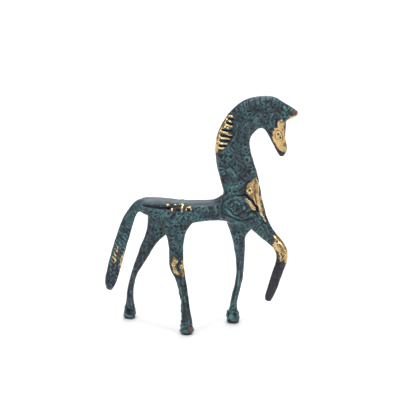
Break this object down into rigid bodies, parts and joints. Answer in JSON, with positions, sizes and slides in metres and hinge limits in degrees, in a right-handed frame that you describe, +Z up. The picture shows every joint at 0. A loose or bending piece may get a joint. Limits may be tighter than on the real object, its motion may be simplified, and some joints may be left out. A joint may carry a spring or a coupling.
{
  "type": "horse statuette",
  "caption": "Small cast bronze horse with an arched neck, one foreleg raised and a hanging tail, standing free on its hooves; its castings are tenoned and pinned together.",
  "frame": {"origin": "on the ground, under the middle of the whole statuette's bounding box", "axes": "+X towards the head, +Y towards the horse's left side, +Z up"},
  "size_m": [0.1133, 0.0362, 0.1402],
  "materials": {
    "patinated_bronze": "bronze with a dark green-blue patina, rubbed bright on the raised relief",
    "dark_bronze": "smooth bronze, dark brown-black patina",
    "pin_bronze": "bronze wire, peened flush and toned down"
  },
  "bodies": {
    "root": {"barrel": "patinated_bronze", "forehand": "patinated_bronze", "tail": "patinated_bronze", "left_hind_leg": "patinated_bronze", "right_hind_leg": "patinated_bronze", "left_foreleg": "patinated_bronze", "right_foreleg_upper": "patinated_bronze", "right_foreleg_lower": "dark_bronze", "neck_pin_upper": "pin_bronze", "neck_pin_lower": "pin_bronze", "tail_pin": "pin_bronze", "left_hind_pin": "pin_bronze", "right_hind_pin": "pin_bronze", "left_fore_pin": "pin_bronze", "right_fore_pin": "pin_bronze", "knee_pin": "pin_bronze"}
  },
  "joints": []
}
